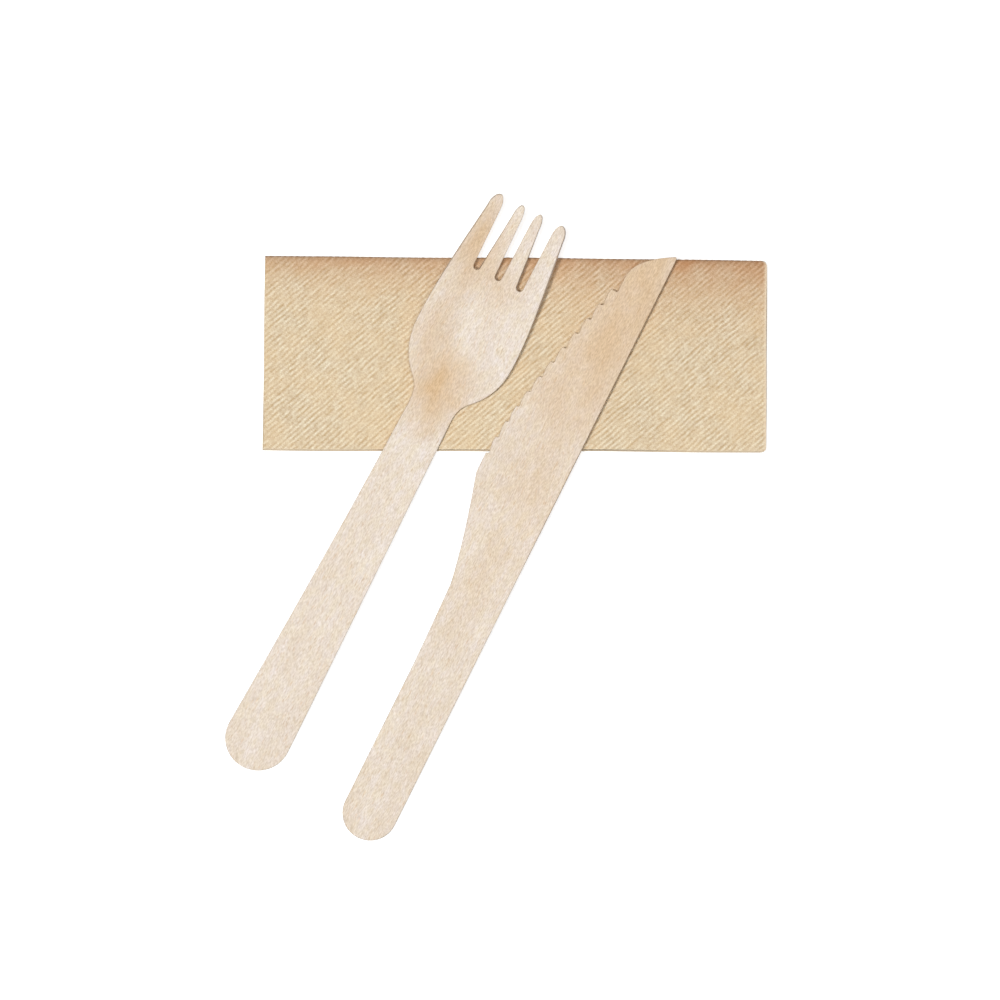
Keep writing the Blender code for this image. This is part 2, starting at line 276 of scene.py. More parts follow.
def finish_surface(
    tree: Tree, shader: Sockets, base: str, tints: list[Tint], height: Socket, bump: Point
) -> None:
    """Gives a material its layered colour and its fine relief.

    Args:
        tree: The material's tree.
        shader: The shader's inputs.
        base: The colour under all the tints.
        tints: What goes over it, the lowest first.
        height: The relief's pattern.
        bump: The relief's strength and its depth.
    """
    colour = linear(base)
    for tint in tints:
        colour = tint.over(tree, colour)
    tree.links.new(colour, shader["Base Color"])
    inputs = {"Height": height, "Strength": bump[0], "Distance": bump[1]}
    tree.links.new(add_node(tree, "ShaderNodeBump", inputs)[0], shader["Normal"])


@dataclass(frozen=True)
class ShadeSpot:
    """One soft patch of painted shade on the veneer, in the piece's own axes."""

    along: float
    across: float
    length: float
    width: float
    strength: float
    ragged_scale: float = 1.7
    ragged_detail: float = 4.0
    raggedness: float = 1.1

    def distance(self, tree: Tree, local: Socket) -> Socket:
        """Adds the patch's shape to a material.

        Args:
            tree: The material's tree.
            local: Coordinates along and across the piece.

        Returns:
            The ragged distance from the middle, about 0.55 there and 1.75 at the rim.
        """
        centred = add_node(
            tree,
            "ShaderNodeMapping",
            {
                "Vector": local,
                "Location": (-self.along / self.length, -self.across / self.width, 0.0),
                "Scale": (1.0 / self.length, 1.0 / self.width, 0.0),
            },
        )[0]
        inputs = {"Vector": centred, "Scale": self.ragged_scale, "Detail": self.ragged_detail}
        ragged = add_node(tree, "ShaderNodeTexNoise", inputs)[0]
        far = add_node(tree, "ShaderNodeVectorMath", {0: centred}, operation="LENGTH")["Value"]
        inputs = {0: ragged, 1: self.raggedness, 2: far}
        return add_node(tree, "ShaderNodeMath", inputs, operation="MULTIPLY_ADD")[0]


@dataclass(frozen=True)
class BirchVeneer:
    """Rotary-cut birch veneer, stamped, pressed and tumbled, left unfinished.

    The eye gets a pale, matt, slightly pink cream with short fibre streaks along the piece,
    fine darker flecks, a few broad tan patches of painted shade where the pressed surface tilts
    away from the lamp, and a browner band on the rounded rim of the cut sides.
    """

    name: str
    place: Point
    yaw: float
    # Soft patches of painted shade.
    spots: tuple[ShadeSpot, ...]
    pale: str = "#fff6f1"
    honey: str = "#fef3e1"
    deep: str = "#f0dfcb"
    # Painted shade: the tan of the soft patches where the pressed surface tilts away from the lamp.
    patch: str = "#e9c89e"
    fleck: str = "#e0ba8f"
    dark_fibre: str = "#dcd7d0"
    # A browner band on the rounded rim of the cut sides.
    cut: str = "#a37c55"
    cut_share: float = 0.28
    roughness: float = 0.72
    ior: float = 1.45
    specular: float = 0.25
    bump: Point = (0.5, 0.05 * MM)
    hues: Cells = Cells(3.4 * MM, 1.9 * MM, 2.0)
    streaks: Cells = Cells(9.0 * MM, 0.6 * MM, 3.0)
    clouds: Cells = Cells(16.0 * MM, 6.0 * MM, 3.0)
    blotches: Cells = Cells(4.0 * MM, 2.6 * MM, 2.0)
    # Pores and fibres are some 0.05 mm wide; these are as coarse as the render needs.
    pores: Cells = Cells(2.2 * MM, 0.42 * MM, 1.0)
    fibres: Cells = Cells(0.9 * MM, 0.24 * MM, 2.0)

    def material(self) -> bpy.types.Material:
        """Builds the material.

        Returns:
            The material, which reads Object coordinates turned to the piece's own axis.
        """
        made, tree, shader = new_material(
            self.name,
            {"Roughness": self.roughness, "IOR": self.ior, "Specular IOR Level": self.specular},
        )
        turn = Matrix.Rotation(-self.yaw, 3, "Z") @ Vector((*self.place, 0.0))
        where = add_node(tree, "ShaderNodeTexCoord")["Object"]
        local = add_node(
            tree,
            "ShaderNodeMapping",
            {"Vector": where, "Location": -turn, "Rotation": (0.0, 0.0, -self.yaw)},
        )[0]
        kinds = (self.hues, self.streaks, self.clouds, self.blotches, self.pores, self.fibres)
        hues, streaks, clouds, blotches, pores, fibres = (
            cells.noise(tree, local) for cells in kinds
        )
        rim = add_node(tree, "ShaderNodeAttribute", attribute_name="cut_rim")["Fac"]
        tints = [
            Tint(self.honey, hues, taken=(0.36, 0.64)),
            Tint(self.deep, streaks, taken=(0.34, 0.66), share=(0.0, 0.3)),
            Tint(self.deep, clouds, taken=(0.36, 0.66), share=(0.0, 0.45)),
            Tint(self.deep, blotches, taken=(0.4, 0.68), share=(0.0, 0.25)),
        ]
        # Soft patches of painted shade where the pressed surface tilts away from the lamp.
        for spot in self.spots:
            far = spot.distance(tree, local)
            tints.append(Tint(self.patch, far, taken=(0.65, 1.65), share=(spot.strength, 0.0)))
        tints += [
            Tint(self.fleck, pores, taken=(0.6, 0.74), share=(0.0, 0.4)),
            Tint(self.dark_fibre, fibres, (0.3, 0.7), (1.0, 0.0), Blend.DARKEN),
            Tint(self.cut, rim, share=(0.0, self.cut_share)),
        ]
        relief = add_node(tree, "ShaderNodeMath", {0: fibres, 1: pores}, operation="SUBTRACT")[0]
        finish_surface(tree, shader, self.pale, tints, relief, self.bump)
        return made


@dataclass(frozen=True)
class KraftTissue:
    """Unbleached tissue, creped and then embossed with fine slanting ridges.

    The eye gets a warm matt tan with faint cloudy formation. Over it go painted light and shade:
    pale ridge tops and browner valleys that paint the emboss's light and shade, a browner band of
    painted shade by the back fold with a dark line of painted shade along its outer edge, and
    pale soft rims of painted highlight at the other edges. These painted amounts are read from the
    mesh.
    """

    name: str = "unbleached_embossed_tissue"
    # Painted light and shade of the emboss: ridge is the lit colour of the ridge tops, valley the
    # shaded colour of the valleys and the base under all tints.
    ridge: str = "#fff8df"
    valley: str = "#d1b88f"
    cloud: str = "#f6dfb5"
    # Painted shade: the browner band by the back fold, where the sheet turns away from the lamp.
    fold_shade: str = "#dcb8a2"
    # Painted shade: a dark line along the back fold's outer edge, where the sheet faces sideways.
    crease_shade: str = "#8a6547"
    # Painted highlight: pale soft rims along the napkin's other edges, where the sheet turns down.
    rim: str = "#fff0d4"
    dark_fibre: str = "#e2d5cf"
    roughness: float = 0.95
    specular: float = 0.1
    sheen: float = 0.08
    sheen_roughness: float = 0.6
    bump: Point = (0.4, 0.06 * MM)
    fold_shade_mottle: tuple[float, ...] = (0.3, 0.7, 0.75, 1.3)
    formation: Cells = Cells(7.0 * MM, 7.0 * MM, 6.0)
    # A tissue's fibres are some 0.03 mm wide; these are as coarse as the render needs.
    fibres: Cells = Cells(0.3 * MM, 0.3 * MM, 3.0)

    def material(self) -> bpy.types.Material:
        """Builds the material.

        Returns:
            The material, which reads the relief that the emboss stored on the mesh.
        """
        made, tree, shader = new_material(
            self.name,
            {
                "Roughness": self.roughness,
                "Specular IOR Level": self.specular,
                "Sheen Weight": self.sheen,
                "Sheen Roughness": self.sheen_roughness,
            },
        )
        where = add_node(tree, "ShaderNodeTexCoord")["Object"]
        relief, fold_shading, crease_shade, edge = (
            add_node(tree, "ShaderNodeAttribute", attribute_name=name)["Fac"]
            for name in ("relief", "fold_shading", "crease_shade", "edge")
        )
        clouds = self.formation.noise(tree, where)
        fibres = self.fibres.noise(tree, where)
        # Painted shade by the back fold, mottled by the formation.
        ends = dict(zip(RANGE_ENDS, self.fold_shade_mottle))
        mottle = add_node(tree, "ShaderNodeMapRange", {"Value": clouds} | ends)[0]
        fold_shade = add_node(tree, "ShaderNodeMath", {0: fold_shading, 1: mottle}, operation="MULTIPLY")[0]
        tints = [
            # Painted highlight and shade: the stored relief mixes the lit ridge colour over the
            # shaded valley colour.
            Tint(self.ridge, relief, taken=(-1.0, 1.0)),
            Tint(self.cloud, clouds, taken=(0.35, 0.7), share=(0.0, 0.5)),
            Tint(self.fold_shade, fold_shade, blend=Blend.DARKEN),
            # Painted shade along the back fold's outer edge.
            Tint(self.crease_shade, crease_shade, taken=(0.84, 1.0), share=(0.0, 0.6)),
            # Painted highlight along the napkin's other edges.
            Tint(self.rim, edge),
            Tint(self.dark_fibre, fibres, (0.3, 0.7), (1.0, 0.0), Blend.DARKEN),
        ]
        finish_surface(tree, shader, self.valley, tints, fibres, self.bump)
        return made


@dataclass(frozen=True)
class Lay:
    """How a piece lies: its handle end on the table and its head just clear of the napkin."""

    node: str
    yaw: float
    seat_gap: float = 0.3 * MM
    steepest: float = math.radians(6.0)
    halvings: int = 40

    def matrix(self, points: np.ndarray) -> Matrix:
        """Finds the tilt that the piece lies at, and where that puts it.

        Args:
            points: The pressed piece's points in its own axes, one row each.

        Returns:
            The move from the piece's own axes to the frame.
        """
        low, high = (np.array(corner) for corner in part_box(self.node))
        lowest, highest = (np.array(corner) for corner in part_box("napkin"))
        first, last = 0.0, self.steepest
        for _ in range(self.halvings):
            tilt = (first + last) / 2.0
            turn = Matrix.Rotation(self.yaw, 4, "Z") @ Matrix.Rotation(-tilt, 4, "Y")
            turned = points @ np.array(turn.to_3x3()).T
            shift = low - turned.min(axis=0)
            spots = turned + shift
            inside = (spots[:, :2] > lowest[:2]) & (spots[:, :2] < highest[:2])
            over = spots[inside.all(axis=1), 2].min()
            if over < highest[2] + self.seat_gap:
                first = tilt
            else:
                last = tilt
        return Matrix.Translation(Vector(shift)) @ turn


@dataclass
class StampedPiece:
    """A piece stamped from veneer and pressed: what fork and knife share."""

    lay: Lay
    finish: BirchVeneer
    veneer: float = 1.7 * MM
    rim: float = 0.25 * MM
    rim_segments: int = 3
    slice_step: float = 1.25 * MM
    slice_snap: float = 0.02 * MM
    face_weight: int = 90
    crook: float = 0.0
    length: float = 0.0

    def outline(self) -> list[Point]:
        """Returns the blank's outline, counter-clockwise from above."""
        raise NotImplementedError

    def height(self, x: float, y: float) -> float:
        """Returns how high the middle of the pressed piece is over its blank."""
        raise NotImplementedError

    def thickness(self, x: float, y: float) -> float:
        """Returns the pressed thickness."""
        raise NotImplementedError

    def broad(self) -> Triple:
        """Returns where the broad part starts along, and its lowest and highest y."""
        raise NotImplementedError

    def blank(self) -> BMesh:
        """Stamps the flat blank and rounds its rim.

        Returns:
            The blank, centred on its thickness.
        """
        bm = bmesh.new()
        low = -self.veneer / 2.0
        bottom = bm.faces.new([bm.verts.new((x, y, low)) for x, y in self.outline()])
        bm.normal_update()
        if bottom.normal.z > 0.0:
            bottom.normal_flip()
        for part in bmesh.ops.extrude_face_region(bm, geom=[bottom])["geom"]:
            if isinstance(part, bmesh.types.BMVert):
                part.co.z += self.veneer
        bmesh.ops.recalc_face_normals(bm, faces=bm.faces[:])
        rim = [e for e in bm.edges if abs(e.verts[0].co.z - e.verts[1].co.z) < self.veneer / 2.0]
        bmesh.ops.bevel(
            bm, geom=rim, offset=self.rim, segments=self.rim_segments, profile=0.5, affect="EDGES"
        )
        return bm

    def cut_lines(self, bm: BMesh) -> None:
        """Cuts lines into the blank, so that it can bend.

        Args:
            bm: The blank.
        """
        start, low, high = self.broad()
        for normal, first, last, beyond in (
            (Vector((1.0, 0.0, 0.0)), 0.0, self.length, -1.0),
            (Vector((0.0, 1.0, 0.0)), low, high, start),
        ):
            count = int((last - first) / self.slice_step)
            for k in range(1, count):
                level = between(first, last, k / count)
                faces = [f for f in bm.faces if f.calc_center_median().x > beyond]
                parts = list(dict.fromkeys(p for f in faces for p in (f, *f.edges, *f.verts)))
                cut = {"plane_co": normal * level, "plane_no": normal, "dist": self.slice_snap}
                bmesh.ops.bisect_plane(bm, geom=parts, **cut)

    def press(self, bm: BMesh) -> None:
        """Bends the blank to the mould, with each point square to it.

        Args:
            bm: The blank, which also gets its cut rim as a value on its points.
        """
        step = 0.05 * MM
        cut_rim = bm.verts.layers.float.new("cut_rim")
        for vert in bm.verts:
            x, y, z = vert.co
            vert[cut_rim] = eased((self.veneer / 2.0 - abs(z)) / self.rim)
            along = (self.height(x + step, y) - self.height(x - step, y)) / (2.0 * step)
            across = (self.height(x, y + step) - self.height(x, y - step)) / (2.0 * step)
            normal = Vector((-along, -across, 1.0)).normalized()
            bow = -4.0 * self.crook * (x / self.length) * (1.0 - x / self.length)
            mould = Vector((x, y + bow, self.height(x, y)))
            vert.co = mould + normal * (z * self.thickness(x, y) / self.veneer)

    def build(self) -> bpy.types.Object:
        """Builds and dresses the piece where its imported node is.

        Returns:
            The finished piece.
        """
        bm = self.blank()
        self.cut_lines(bm)
        self.press(bm)
        place = self.lay.matrix(np.array([vert.co for vert in bm.verts]))
        bmesh.ops.transform(bm, matrix=place, verts=bm.verts[:])
        bmesh.ops.recalc_face_normals(bm, faces=bm.faces[:])
        for face in bm.faces:
            face.smooth = True
        mesh = bpy.data.meshes.new(f"{self.lay.node}_blank")
        bm.to_mesh(mesh)
        bm.free()
        mesh.materials.append(self.finish.material())
        raw = put_in_scene(f"{self.lay.node}_raw", mesh)
        weighted = raw.modifiers.new("face_weighted_normals", "WEIGHTED_NORMAL")
        weighted.weight = self.face_weight
        piece = settled(raw, f"{self.lay.node}_pressed")
        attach(piece, "root")
        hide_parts(self.lay.node)
        LOG.info("%s: %d faces", piece.name, len(piece.data.polygons))
        return piece


def settled(raw: bpy.types.Object, name: str) -> bpy.types.Object:
    """Turns an object with modifiers into a plain mesh and removes the original.

    Args:
        raw: The object with its live modifiers.
        name: The plain piece's name.

    Returns:
        The plain piece, in the scene.
    """
    bpy.context.view_layer.update()
    graph = bpy.context.evaluated_depsgraph_get()
    mesh = bpy.data.meshes.new_from_object(
        raw.evaluated_get(graph), preserve_all_data_layers=True, depsgraph=graph
    )
    mesh.name = name
    bpy.data.objects.remove(raw, do_unlink=True)
    return put_in_scene(name, mesh)


@dataclass
class Fork(StampedPiece):
    """The fork, with its tapering handle, dished bowl and four tines."""

    length: float = 156.5 * MM
    crook: float = 0.6 * MM
    end_radius: float = 8.2 * MM
    neck_width: float = 11.7 * MM
    neck_blend: float = 7.7 * MM
    shoulder_length: float = 14.0 * MM
    shoulder_start_width: float = 16.2 * MM
    head_width: float = 26.9 * MM
    head_length: float = 36.2 * MM
    tips_width: float = 20.1 * MM
    tine_length: float = 19.5 * MM
    point_length: float = 3.6 * MM
    tip_thickness: float = 1.2 * MM
    gap_root: float = 1.85 * MM
    gap_pitch: float = 6.1 * MM
    middle_mouth: float = 2.45 * MM
    inner_mouth: float = 2.55 * MM
    side_mouth: float = 3.4 * MM
    arch: float = 2.8 * MM
    arch_share: float = 0.46
    bowl_setback: float = 41.0 * MM
    tip_rise: float = 4.6 * MM
    trough: float = 2.2 * MM
    taper_slopes: Point = (1.2, 0.6)
    head_slope: float = -0.11
    outer_lean: float = 0.4
    end_slope: float = 0.06
    tip_slope: float = 0.17

    @property
    def shoulder_at(self) -> float:
        """Where the neck's blend ends along the fork."""
        return self.length - self.head_length - self.shoulder_length

    @property
    def neck_at(self) -> float:
        """Where the neck is narrowest."""
        return self.shoulder_at - self.neck_blend

    @property
    def widest_at(self) -> float:
        """Where the head is widest."""
        return self.length - self.head_length

    def tine_tip(self, start: Point, tip: Point, end: Point, steps: int = 9) -> list[Point]:
        """Rounds a tine's tip.

        Args:
            start: Where its outer side ends.
            tip: Its foremost point.
            end: Where its inner side starts.
            steps: How many steps each half takes.

        Returns:
            The points after start, up to end.
        """
        quarter = [math.pi / 2.0 * k / steps for k in range(1, steps + 1)]
        turns = [(math.sin(a), math.cos(a)) for a in quarter]
        rise = [(between(start[0], tip[0], s), between(tip[1], start[1], c)) for s, c in turns]
        fall = [(between(end[0], tip[0], c), between(tip[1], end[1], s)) for s, c in turns]
        return rise + fall

    def outline(self) -> list[Point]:
        """Draws the blank from the handle's end round one side, and mirrors it.

        Returns:
            The outline, counter-clockwise from above.
        """
        handle = (self.end_radius, self.end_radius)
        neck = (self.neck_at, self.neck_width / 2.0)
        shoulder = (self.shoulder_at, self.shoulder_start_width / 2.0)
        widest = (self.widest_at, self.head_width / 2.0)
        tips = (self.length, self.tips_width / 2.0)
        mouth = self.length - self.point_length
        taper = (neck[1] - handle[1]) / (neck[0] - handle[0])
        slopes = (self.taper_slopes[0] * taper, self.taper_slopes[1] * taper)
        sides = (0.0, self.head_slope)
        half = arc((handle[0], 0.0), self.end_radius, math.pi, math.pi / 2.0, steps=20)
        half += curve(handle, neck, slopes, steps=24)
        half += curve(neck, shoulder, (0.0, 1.0), steps=12)
        half += curve(shoulder, widest, (1.0, 0.0), steps=18)
        half += [p for p in curve(widest, tips, sides, steps=28) if p[0] < mouth]

        root = self.length - self.tine_length + self.gap_root / 2.0
        inner_edge = self.middle_mouth / 2.0
        outer_edge = inner_edge + self.inner_mouth
        far_edge = outer_edge + self.side_mouth
        rim = (mouth, curve_height(widest, tips, sides, mouth))
        radius = self.gap_root / 2.0
        half += [rim]
        outer_tip = (self.length, between(far_edge, rim[1], self.outer_lean))
        half += self.tine_tip(rim, outer_tip, (mouth, far_edge))
        half += arc((root, self.gap_pitch), radius, math.pi / 2.0, 1.5 * math.pi, steps=10)
        half += [(mouth, outer_edge)]
        inner_tip = (self.length, (inner_edge + outer_edge) / 2.0)
        half += self.tine_tip((mouth, outer_edge), inner_tip, (mouth, inner_edge))
        half += arc((root, 0.0), radius, math.pi / 2.0, math.pi, steps=5)
        return half[::-1][:-1] + [(x, -y) for x, y in half][:-1]

    def height(self, x: float, y: float) -> float:
        """Shapes the mould: an arched handle, a dished bowl and rising tines.

        Args:
            x: The place along the fork.
            y: The place across it.

        Returns:
            How high the middle of the pressed fork is over its blank.
        """
        bowl = self.length - self.bowl_setback
        knots = [
            (0.0, 0.0, self.end_slope),
            (bowl * self.arch_share, self.arch, 0.0),
            (bowl, 0.0, 0.0),
            (self.length, self.tip_rise, self.tip_slope),
        ]
        share = eased((x - self.neck_at) / (self.widest_at - self.neck_at))
        across = min(abs(y) / (self.head_width / 2.0), 1.0)
        rounded = math.sin(math.pi / 2.0 * across) ** 2
        ahead = eased((x - self.widest_at) / (self.head_length - self.point_length))
        dish = self.trough * share * between(rounded, across**2, ahead)
        return profile_height(knots, x) + dish

    def thickness(self, x: float, y: float) -> float:
        """Returns the pressed thickness, which thins along the tines."""
        share = eased((x - (self.length - self.tine_length)) / self.tine_length)
        return between(self.veneer, self.tip_thickness, share)

    def broad(self) -> Triple:
        """Returns where the head starts, and its lowest and highest y."""
        return self.neck_at, -self.head_width / 2.0, self.head_width / 2.0


@dataclass
class Knife(StampedPiece):
    """The knife, with its straight spine and stepped teeth."""

    length: float = 165.0 * MM
    handle_width: float = 13.75 * MM
    swell: float = 0.6 * MM
    swell_length: float = 24.0 * MM
    flare_length: float = 27.5 * MM
    blade_width: float = 21.1 * MM
    heel_length: float = 6.0 * MM
    point_length: float = 10.4 * MM
    point_step: float = 3.9 * MM
    nose_width: float = 9.55 * MM
    last_tooth_width: float = 11.3 * MM
    teeth: int = 12
    tooth_pitch: float = 4.57 * MM
    tooth_step: float = 0.8 * MM
    tooth_round: float = 0.32 * MM
    tooth_crown: float = 0.22 * MM
    edge_thickness: float = 0.9 * MM
    arch: float = 0.6 * MM
    flat_share: float = 0.65
    tip_drop: float = 1.4 * MM
    warp: float = 1.8 * MM
    hollow_share: float = 1.4
    # Slopes of the outline are shares of the mean slope there.
    edge_slopes: Point = (0.3, 1.25)
    flare_slopes: Point = (0.64, 1.2)
    swell_slope: float = 0.1
    heel_slope: float = 1.1
    heel_corner: Point = (-0.3 * MM, -0.25 * MM)
    heel_crest: Point = (0.7 * MM, -0.03 * MM)
    # Where the nose's curve is pulled to, along as a share of the point's length.
    nose_pull: Point = (0.442, 0.05 * MM)
    tip_pull: Point = (0.731, 0.54)
    tip_rounding: tuple[Point, ...] = ((0.2 * MM, 0.12 * MM), (0.7 * MM, 0.0))
    tip_height: float = 0.5 * MM
    bow_slope: float = 0.012
    tip_slope: float = -0.04
    thinning: Point = (0.45, 0.6)

    @property
    def spine(self) -> float:
        """The straight side's y."""
        return -self.handle_width / 2.0

    @property
    def last_tooth_at(self) -> float:
        """Where the last tooth is along the knife."""
        return self.length - self.point_length - self.point_step

    @property
    def first_tooth_at(self) -> float:
        """Where the first tooth is along the knife."""
        return self.last_tooth_at - (self.teeth - 1) * self.tooth_pitch

    @property
    def flare_at(self) -> float:
        """Where the handle starts to widen into the blade."""
        return self.first_tooth_at - self.heel_length - self.flare_length

    def toothed_edge(self) -> list[Point]:
        """Draws the teeth, each of which steps back on its tip side.

        Returns:
            The edge from the first tooth to the last.
        """
        first = (self.first_tooth_at, self.spine + self.blade_width)
        last = (self.last_tooth_at, self.spine + self.last_tooth_width)
        mean = (last[1] - first[1]) / (last[0] - first[0])
        slopes = (self.edge_slopes[0] * mean, self.edge_slopes[1] * mean)
        hollow = self.hollow_share * self.tooth_round
        points: list[Point] = []
        for k in range(self.teeth):
            at = between(first[0], last[0], k / (self.teeth - 1))
            top = curve_height(first, last, slopes, at)
            following = self.spine + self.nose_width
            if k < self.teeth - 1:
                following = curve_height(first, last, slopes, at + self.tooth_pitch)
            floor = min(top - self.tooth_step, following)
            point = (at - self.tooth_round, top - self.tooth_round)
            root = (at + hollow, floor + hollow)
            points += arc(point, self.tooth_round, math.pi / 2.0, 0.0, steps=5)
            points += arc(root, hollow, math.pi, 1.5 * math.pi, steps=5)
            if k == self.teeth - 1:
                break
            end_at = at + self.tooth_pitch - self.tooth_round
            for f in (0.2, 0.4, 0.6, 0.8):
                crown = self.tooth_crown * 4.0 * f * (1.0 - f)
                points.append((between(root[0], end_at, f), between(floor, following, f) + crown))
        return points

    def outline(self) -> list[Point]:
        """Draws the blank from the handle's end along the toothed side to the tip.

        Returns:
            The outline, counter-clockwise from above.
        """
        grip = self.spine + self.handle_width
        swell = grip + self.swell
        heel = self.spine + self.blade_width
        heel_at = self.first_tooth_at - self.heel_length
        radius = self.handle_width / 2.0
        mean = (heel - swell) / self.flare_length
        start = (self.flare_at - self.swell_length, grip)
        flare = (self.flare_at, swell)
        corner = (heel_at + self.heel_corner[0], heel + self.heel_corner[1])
        crest = (heel_at + self.heel_crest[0], heel + self.heel_crest[1])
        widening = (self.flare_slopes[0] * mean, self.flare_slopes[1] * mean)
        edge = arc((radius, 0.0), radius, 1.5 * math.pi, math.pi / 2.0, steps=36)
        edge += curve((radius, grip), start, (0.0, 0.0), steps=8)
        edge += curve(start, flare, (0.0, self.swell_slope * mean), steps=8)
        edge += curve(flare, corner, widening, steps=12)
        edge += curve(corner, crest, (self.heel_slope * mean, 0.0), steps=4)
        edge += self.toothed_edge()
        return (edge + self.nose())[::-1]

    def nose(self) -> list[Point]:
        """Draws the curved nose and the rounded tip.

        Returns:
            The points from the last tooth to the spine.
        """
        start = (self.length - self.point_length, self.spine + self.nose_width)
        tip = (self.length, self.spine + self.tip_height)
        handles = [
            start,
            (start[0] + self.nose_pull[0] * self.point_length, start[1] + self.nose_pull[1]),
            (
                start[0] + self.tip_pull[0] * self.point_length,
                between(tip[1], start[1], self.tip_pull[1]),
            ),
            tip,
        ]
        edge: list[Point] = []
        steps = 20
        for f in (k / steps for k in range(steps + 1)):
            weights = ((1 - f) ** 3, 3 * f * (1 - f) ** 2, 3 * f**2 * (1 - f), f**3)
            x, y = (sum(w * p[i] for w, p in zip(weights, handles)) for i in (0, 1))
            edge.append((x, y))
        return edge + [(self.length - back, self.spine + up) for back, up in self.tip_rounding]

    def height(self, x: float, y: float) -> float:
        """Shapes the mould: a shallow arch, a drooping tip and a slight warp of the blade.

        Args:
            x: The place along the knife.
            y: The place across it.

        Returns:
            How high the middle of the knife is over its blank.
        """
        flat = self.length * self.flat_share
        knots = [
            (0.0, 0.0, self.bow_slope),
            (flat / 2.0, self.arch, 0.0),
            (flat, 0.0, -self.bow_slope),
            (self.length, -self.tip_drop, self.tip_slope),
        ]
        swell = eased((x - self.flare_at) / (self.first_tooth_at - self.flare_at))
        swell *= eased((self.length - x) / (self.length - self.first_tooth_at))
        warp = self.warp * swell * (0.5 - (y - self.spine) / self.blade_width)
        return warp + profile_height(knots, x)

    def thickness(self, x: float, y: float) -> float:
        """Thins the blade towards the teeth.

        Args:
            x: The place along the knife.
            y: The place across it.

        Returns:
            The pressed thickness.
        """
        blade = eased((x - self.flare_at) / self.flare_length)
        run = self.last_tooth_at - self.first_tooth_at
        mean = (self.last_tooth_width - self.blade_width) / run
        ahead = max(x - self.first_tooth_at, 0.0)
        edge = self.spine + self.blade_width + mean * ahead
        across = (y - self.spine) / (edge - self.spine)
        start, reach = self.thinning
        share = blade * eased((across - start) / reach)
        return between(self.veneer, self.edge_thickness, share)

    def broad(self) -> Triple:
        """Returns where the blade starts, and its lowest and highest y."""
        return self.flare_at, self.spine, self.spine + self.blade_width


